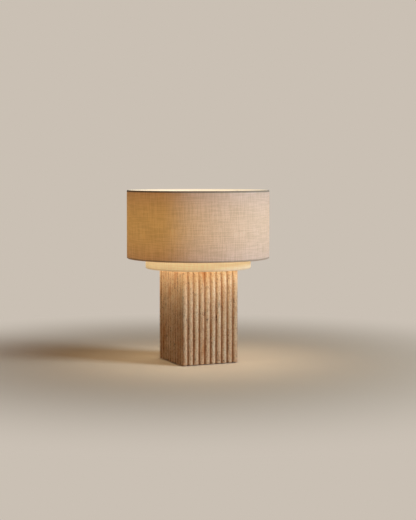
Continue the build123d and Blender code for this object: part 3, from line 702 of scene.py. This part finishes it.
@dataclass
class LinenDrum:
    """One drum of the shade: linen rolled round the wire rings, with a lap seam at the back."""

    node: str
    finish: Linen
    slot: str
    ring: str                        # the wire ring that holds the cloth up
    steps: int = 240                 # faces round a whole drum
    cuts: int = 23                   # across the wall, from hem to hem
    cloth: float = 0.8 * MM          # thickness
    roll: float = 2.45 * MM          # radius of the roll round the wire, in the cloth's middle
    roundness: float = 0.96          # 1 would make the roll an exact half circle
    hem: float = 9.0 * MM
    seam: float = math.pi / 2        # where the lap is, from +X
    lap: float = 12.0 * MM
    lap_rise: float = 0.5 * MM

    def __post_init__(self) -> None:
        """Read the drum's size from the frame."""
        low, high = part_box(self.node)
        self.radius = high.x
        self.bottom = low.z
        self.top = high.z

    def section(self, radius: float) -> bmesh.types.BMesh:
        """Middle line of the linen from hem to hem, as a chain of edges in the XZ plane.

        Args:
            radius: the drum's outer radius.

        Returns:
            A bmesh with the chain, its corners rounded.
        """
        wall = radius - self.cloth / 2
        inside = wall - 2 * self.roll
        fold = radius - 2.2 * self.cloth
        edge = self.cloth / 2
        lean = 0.7 * self.hem
        foot = self.hem * 0.4
        points = [
            (fold, self.bottom + self.hem),
            (fold, self.bottom + lean),
            (inside, self.bottom + foot),
            (inside, self.bottom + edge),
            (wall, self.bottom + edge),
            (wall, self.top - edge),
            (inside, self.top - edge),
            (inside, self.top - foot),
            (fold, self.top - lean),
            (fold, self.top - self.hem),
        ]
        line = bmesh.new()
        chain = [line.verts.new((x, 0.0, z)) for x, z in points]
        for start, end in zip(chain, chain[1:]):
            line.edges.new((start, end))
        bmesh.ops.bevel(
            line,
            geom=chain[3:7],
            offset=self.roll * self.roundness,
            segments=6,
            profile=0.5,
            affect="VERTICES",
            material=-1,
        )
        return line

    def skin(self, radius: float, start: float, sweep: float) -> bmesh.types.BMesh:
        """Turn the section about the lamp's axis.

        Args:
            radius: the drum's outer radius.
            start: the angle at which the cloth begins, from +X.
            sweep: the angle that it goes round.

        Returns:
            The surface, with its map in metres in the layer "cloth".
        """
        mesh = self.section(radius)
        turn = Matrix.Rotation(start, 3, "Z")
        bmesh.ops.rotate(mesh, verts=mesh.verts[:], cent=(0, 0, 0), matrix=turn)
        bmesh.ops.spin(
            mesh,
            geom=mesh.edges[:] + mesh.verts[:],
            cent=(0, 0, 0),
            axis=(0, 0, 1),
            angle=sweep,
            steps=max(2, round(self.steps * sweep / math.tau)),
            use_merge=math.isclose(sweep, math.tau),
        )
        long_edges = [
            e for e in mesh.edges
            if abs(e.verts[0].co.z - e.verts[1].co.z) > (self.top - self.bottom) / 2
        ]
        bmesh.ops.subdivide_edges(mesh, edges=long_edges, cuts=self.cuts, use_grid_fill=True)
        bmesh.ops.recalc_face_normals(mesh, faces=mesh.faces[:])
        outer = max(mesh.faces, key=lambda f: f.calc_center_median().xy.length)
        if outer.normal.xy.dot(outer.calc_center_median().xy) < 0:
            bmesh.ops.reverse_faces(mesh, faces=mesh.faces[:])
        self.map_cloth(mesh, radius - self.cloth, start)
        return mesh

    def map_cloth(self, mesh: bmesh.types.BMesh, radius: float, start: float) -> None:
        """Lay the cloth's map: metres round the drum from where the cloth starts, and height."""
        layer = mesh.loops.layers.uv.new("cloth")
        for face in mesh.faces:
            middle = face.calc_center_median()
            centre = (math.atan2(middle.y, middle.x) - start) % math.tau
            for loop in face.loops:
                turn = (math.atan2(loop.vert.co.y, loop.vert.co.x) - start) % math.tau
                turn += math.tau * round((centre - turn) / math.tau)
                loop[layer].uv = (turn * radius, loop.vert.co.z)

    def build(self) -> list[bpy.types.Object]:
        """Make the cloth and its lap.

        Returns:
            The drum's cloth and the lap over its seam.
        """
        material = self.finish.paint(self.slot, self.radius, self.bottom, self.top)
        whole = self.skin(self.radius, self.seam, math.tau)
        cloth = as_object(f"{self.node}_cloth", whole, material)
        angle = self.lap / self.radius
        strip = self.skin(self.radius + self.lap_rise, self.seam - angle / 2, angle)
        lap = as_object(f"{self.node}_lap", strip, material)
        for piece in (cloth, lap):
            wall = piece.modifiers.new("cloth thickness", "SOLIDIFY")
            wall.thickness = self.cloth
            wall.offset = 0.0
            wall.use_even_offset = True
            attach(piece, "shade")
        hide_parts(self.node)
        height = self.top - self.bottom
        height + 2 * (2 * self.roll + self.hem)
        LOG.info("%s: radius %.4f, %.4f to %.4f", cloth.name, self.radius, self.bottom, self.top)
        return [cloth, lap]


@dataclass
class Shade:
    """The two linen drums, their liners and their wire frame."""

    nodes: dict[str, bpy.types.Object]
    outer_liner: Liner = Liner(glow=0.36)
    inner_liner: Liner = Liner()

    def build(self) -> None:
        """Make and dress the shade."""
        LinenDrum("outer_linen", OUTER_LINEN, "natural_linen", "outer_top_ring").build()
        LinenDrum("inner_linen", INNER_LINEN, "pale_linen", "inner_top_ring").build()
        repaint(self.nodes["outer_liner"], self.outer_liner.paint("outer_liner_white"))
        repaint(self.nodes["inner_liner"], self.inner_liner.paint("inner_liner_white"))
        wire = Plain.WHITE_COATING.value.paint("white_wire")
        for name in (
            "shade_fitter",
            "shade_arms",
            "shade_links",
            "inner_bottom_ring",
            "inner_top_ring",
            "outer_bottom_ring",
            "outer_top_ring",
        ):
            repaint(self.nodes[name], wire)
        LOG.info("shade dressed")


@dataclass
class Column:
    """The reeded stone column with its feet, cover and cable inlet."""

    nodes: dict[str, bpy.types.Object]

    def build(self) -> None:
        """Dress the column and what is fixed in it."""
        repaint(self.nodes["stone_column"], Travertine().paint("travertine"))
        repaint(self.nodes["foot_pads"], Felt().paint("foot_felt"))
        fittings = {
            "base_cover": Plain.BLACK_COATING,
            "cover_screws": Plain.ZINC,
            "threaded_inserts": Plain.BRASS,
            "cable_bushing": Plain.BRASS,
            "bushing_locknut": Plain.BRASS,
            "terminal_block": Plain.WHITE_PLASTIC,
            "terminal_screws": Plain.ZINC,
            "live_wire": Plain.BROWN_WIRE,
            "neutral_wire": Plain.BLUE_WIRE,
            "nipple": Plain.ZINC,
            "clamp_washer": Plain.ZINC,
            "clamp_nut": Plain.ZINC,
            "top_plate": Plain.BRUSHED_BRASS,
        }
        dress(self.nodes, fittings)
        LOG.info("column dressed")


@dataclass
class Lampholder:
    """The screw lampholder, its switch and the ring that holds the shade."""

    nodes: dict[str, bpy.types.Object]

    def build(self) -> None:
        """Dress the holder."""
        dress(
            self.nodes,
            {
                "holder_base": Plain.BLACK_PHENOLIC,
                "holder_shell": Plain.BLACK_PHENOLIC,
                "holder_insulator": Plain.CERAMIC,
                "screw_shell": Plain.BRASS,
                "centre_contact": Plain.BRASS,
                "holder_terminals": Plain.BRASS,
                "switch_nose": Plain.BRASS,
                "switch_contact": Plain.BRASS,
                "switch_knob": Plain.BLACK_PHENOLIC,
                "switch_spindle": Plain.BRASS,
                "shade_ring": Plain.BLACK_PHENOLIC,
                "shade_washer": Plain.ZINC,
            },
        )
        LOG.info("lampholder dressed")


@dataclass
class Bulb:
    """The lit bulb: its pieces and the light that it sheds."""

    nodes: dict[str, bpy.types.Object]
    power: float = 0.28
    warmth: Triple = (1.0, 0.97, 0.78)
    power_below: float = 0.50
    warmth_below: Triple = (1.0, 0.93, 0.68)
    inside_liner: float = 12 * MM    # from the outer liner to the edge of the light below it
    under_shade: float = 1 * MM

    def build(self) -> None:
        """Dress the bulb and add its light."""
        repaint(self.nodes["bulb_globe"], OpalBulb().paint("opal_globe"))
        self.nodes["bulb_globe"].visible_shadow = False
        dress(
            self.nodes,
            {
                "bulb_collar": Plain.WHITE_PLASTIC,
                "bulb_cap": Plain.NICKEL,
                "bulb_contact": Plain.ZINC,
                "cap_insulator": Plain.BLACK_PHENOLIC,
                "led_board": Plain.LED_BOARD,
                "driver_board": Plain.BOARD,
            },
        )
        self.light_inside()
        self.light_below()

    def light_inside(self) -> None:
        """Hang the light in the middle of the globe."""
        low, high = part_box("bulb_globe")
        radius = (high.x - low.x) / 2
        place = (0.0, 0.0, high.z - radius)
        size = {"shadow_soft_size": radius * 0.9}
        add_light("bulb_light", "POINT", self.power, self.warmth, place, **size)
        LOG.info("bulb dressed, light at %.3f", place[2])

    def light_below(self) -> None:
        """Hang the light that the two drums throw down past the column."""
        _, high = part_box("outer_liner")
        low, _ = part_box("inner_linen")
        glow = add_light(
            "light_below",
            "AREA",
            self.power_below,
            self.warmth_below,
            (0.0, 0.0, low.z - self.under_shade),
            shape="DISK",
            size=2 * (high.x - self.inside_liner),
        )
        glow.visible_camera = False


# ---------------------------------------------------------------- studio


@dataclass(frozen=True)
class SoftLight:
    """A square soft light that faces the lamp."""

    name: str
    azimuth: float                   # degrees, with 0 on the side of -Y and 90 on that of +X
    height: float
    away: float                      # from the lamp's axis
    size: float                      # side of the square
    power: float
    colour: Triple
    aim: float = 0.22                # height of the place that it faces

    def hang(self) -> None:
        """Add the light."""
        turn = math.radians(self.azimuth)
        place = Vector((self.away * math.sin(turn), -self.away * math.cos(turn), self.height))
        shape = {"shape": "SQUARE", "size": self.size}
        lamp = add_light(self.name, "AREA", self.power, self.colour, place, **shape)
        towards = Vector((0.0, 0.0, self.aim)) - lamp.location
        lamp.rotation_euler = towards.to_track_quat("-Z", "Y").to_euler()


@dataclass
class Studio:
    """Pale floor, soft lights and the photograph's camera."""

    focal_pixels: float = 1240.0
    distance: float = 3.063          # from the lamp's axis
    eye_height: float = 0.4715       # above the floor
    sideways: float = 0.0243         # camera to the right of the lamp's axis
    azimuth: float = -24.3           # degrees, 0 looks along +Y
    pitch: float = -2.0              # degrees, negative looks down
    horizon: float = 170.3           # its height in the picture, in pixels from the top
    middle: float = 260.0            # the picture's middle, in pixels from the top
    backdrop: Colour = tint(202, 192, 180)
    fill: Colour = (1.0, 0.76, 0.48, 1.0)
    fill_strength: float = 0.025
    floor_radius: float = 30.0
    floor_pale: Colour = tint(238, 211, 184)
    floor_body: Colour = tint(234, 206, 178)
    fade_from: float = 0.30          # from the lamp, where the floor starts to turn plain
    fade_to: float = 1.05
    lights: tuple[SoftLight, ...] = (
        SoftLight("key_light", 43.0, 1.85, 3.9, 1.4, 150.0, (0.62, 0.83, 1.0)),
        SoftLight("overhead_light", 0.0, 3.2, 0.01, 2.4, 7.5, (1.0, 0.76, 0.48)),
    )

    def camera(self) -> None:
        """Place the camera as in the photograph."""
        turn = math.radians(self.azimuth)
        back = Vector((math.sin(turn), -math.cos(turn), 0.0))
        right = Vector((math.cos(turn), math.sin(turn), 0.0))
        up = Vector((0.0, 0.0, self.eye_height))
        data = bpy.data.cameras.new("photo_view")
        data.sensor_width = SENSOR
        data.sensor_fit = "AUTO"
        data.lens = SENSOR * self.focal_pixels / PHOTO_LONG_SIDE
        below_axis = self.focal_pixels * math.tan(math.radians(-self.pitch))
        data.shift_y = -(self.middle - self.horizon - below_axis) / PHOTO_LONG_SIDE
        view = bpy.data.objects.new("photo_view", data)
        view.location = back * self.distance + right * self.sideways + up
        view.rotation_euler = Euler((math.radians(90.0 + self.pitch), 0.0, turn))
        bpy.context.scene.collection.objects.link(view)
        bpy.context.scene.camera = view

    def floor(self) -> None:
        """Lay a wide pale floor that turns into the plain background away from the lamp."""
        mesh = bmesh.new()
        bmesh.ops.create_circle(mesh, cap_ends=True, segments=96, radius=self.floor_radius)
        p = Paint("floor_paint")
        place = p.place()
        dust = p.noise(place, 3.0, 4.0, 0.6)
        material = p.finish(
            Base_Color=p.mix(dust, self.floor_body, self.floor_pale),
            Roughness=0.85 + dust * 0.1,
        )
        away = p.length(place).step(self.fade_from, self.fade_to)
        rays = p.node("ShaderNodeLightPath").outputs
        seen = (Signal(p, rays["Is Camera Ray"]) + Signal(p, rays["Is Glossy Ray"])).clamped()
        plain = p.node("ShaderNodeEmission", None, {"Color": self.backdrop}).outputs["Emission"]
        shaders = {0: away * seen, 1: p.shader.outputs["BSDF"], 2: plain}
        fade = p.node("ShaderNodeMixShader", None, shaders)
        p.tree.links.new(fade.outputs["Shader"], p.output.inputs["Surface"])
        as_object("floor", mesh, material)

    def surroundings(self) -> None:
        """Light everything a little, and show a pale background behind."""
        world = bpy.data.worlds.new("studio")
        bpy.context.scene.world = world
        world.use_nodes = True
        tree = world.node_tree
        tree.nodes.clear()
        rays = tree.nodes.new("ShaderNodeLightPath").outputs
        seen = rays["Is Camera Ray"]
        for other in ("Is Glossy Ray", "Is Transmission Ray"):
            either = tree.nodes.new("ShaderNodeMath")
            either.operation = "MAXIMUM"
            tree.links.new(seen, either.inputs[0])
            tree.links.new(rays[other], either.inputs[1])
            seen = either.outputs[0]
        mix = tree.nodes.new("ShaderNodeMixShader")
        tree.links.new(seen, mix.inputs[0])
        skies = ((self.fill, self.fill_strength), (self.backdrop, 1.0))
        for slot, (colour, strength) in enumerate(skies, start=1):
            sky = tree.nodes.new("ShaderNodeBackground")
            sky.inputs["Color"].default_value = colour
            sky.inputs["Strength"].default_value = strength
            tree.links.new(sky.outputs[0], mix.inputs[slot])
        output = tree.nodes.new("ShaderNodeOutputWorld")
        tree.links.new(mix.outputs[0], output.inputs["Surface"])

    def build(self) -> None:
        """Set up the studio."""
        self.camera()
        self.floor()
        self.surroundings()
        for light in self.lights:
            light.hang()
        bpy.context.scene.view_settings.view_transform = "Standard"
        LOG.info("studio ready")


def main() -> None:
    """Load the frame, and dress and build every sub-assembly."""
    logging.basicConfig(level=logging.INFO, format="%(name)s %(message)s")
    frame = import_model()
    nodes = frame["nodes"]
    Column(nodes).build()
    Lampholder(nodes).build()
    Bulb(nodes).build()
    Shade(nodes).build()
    Studio().build()


if __name__ == "__main__":
    main()
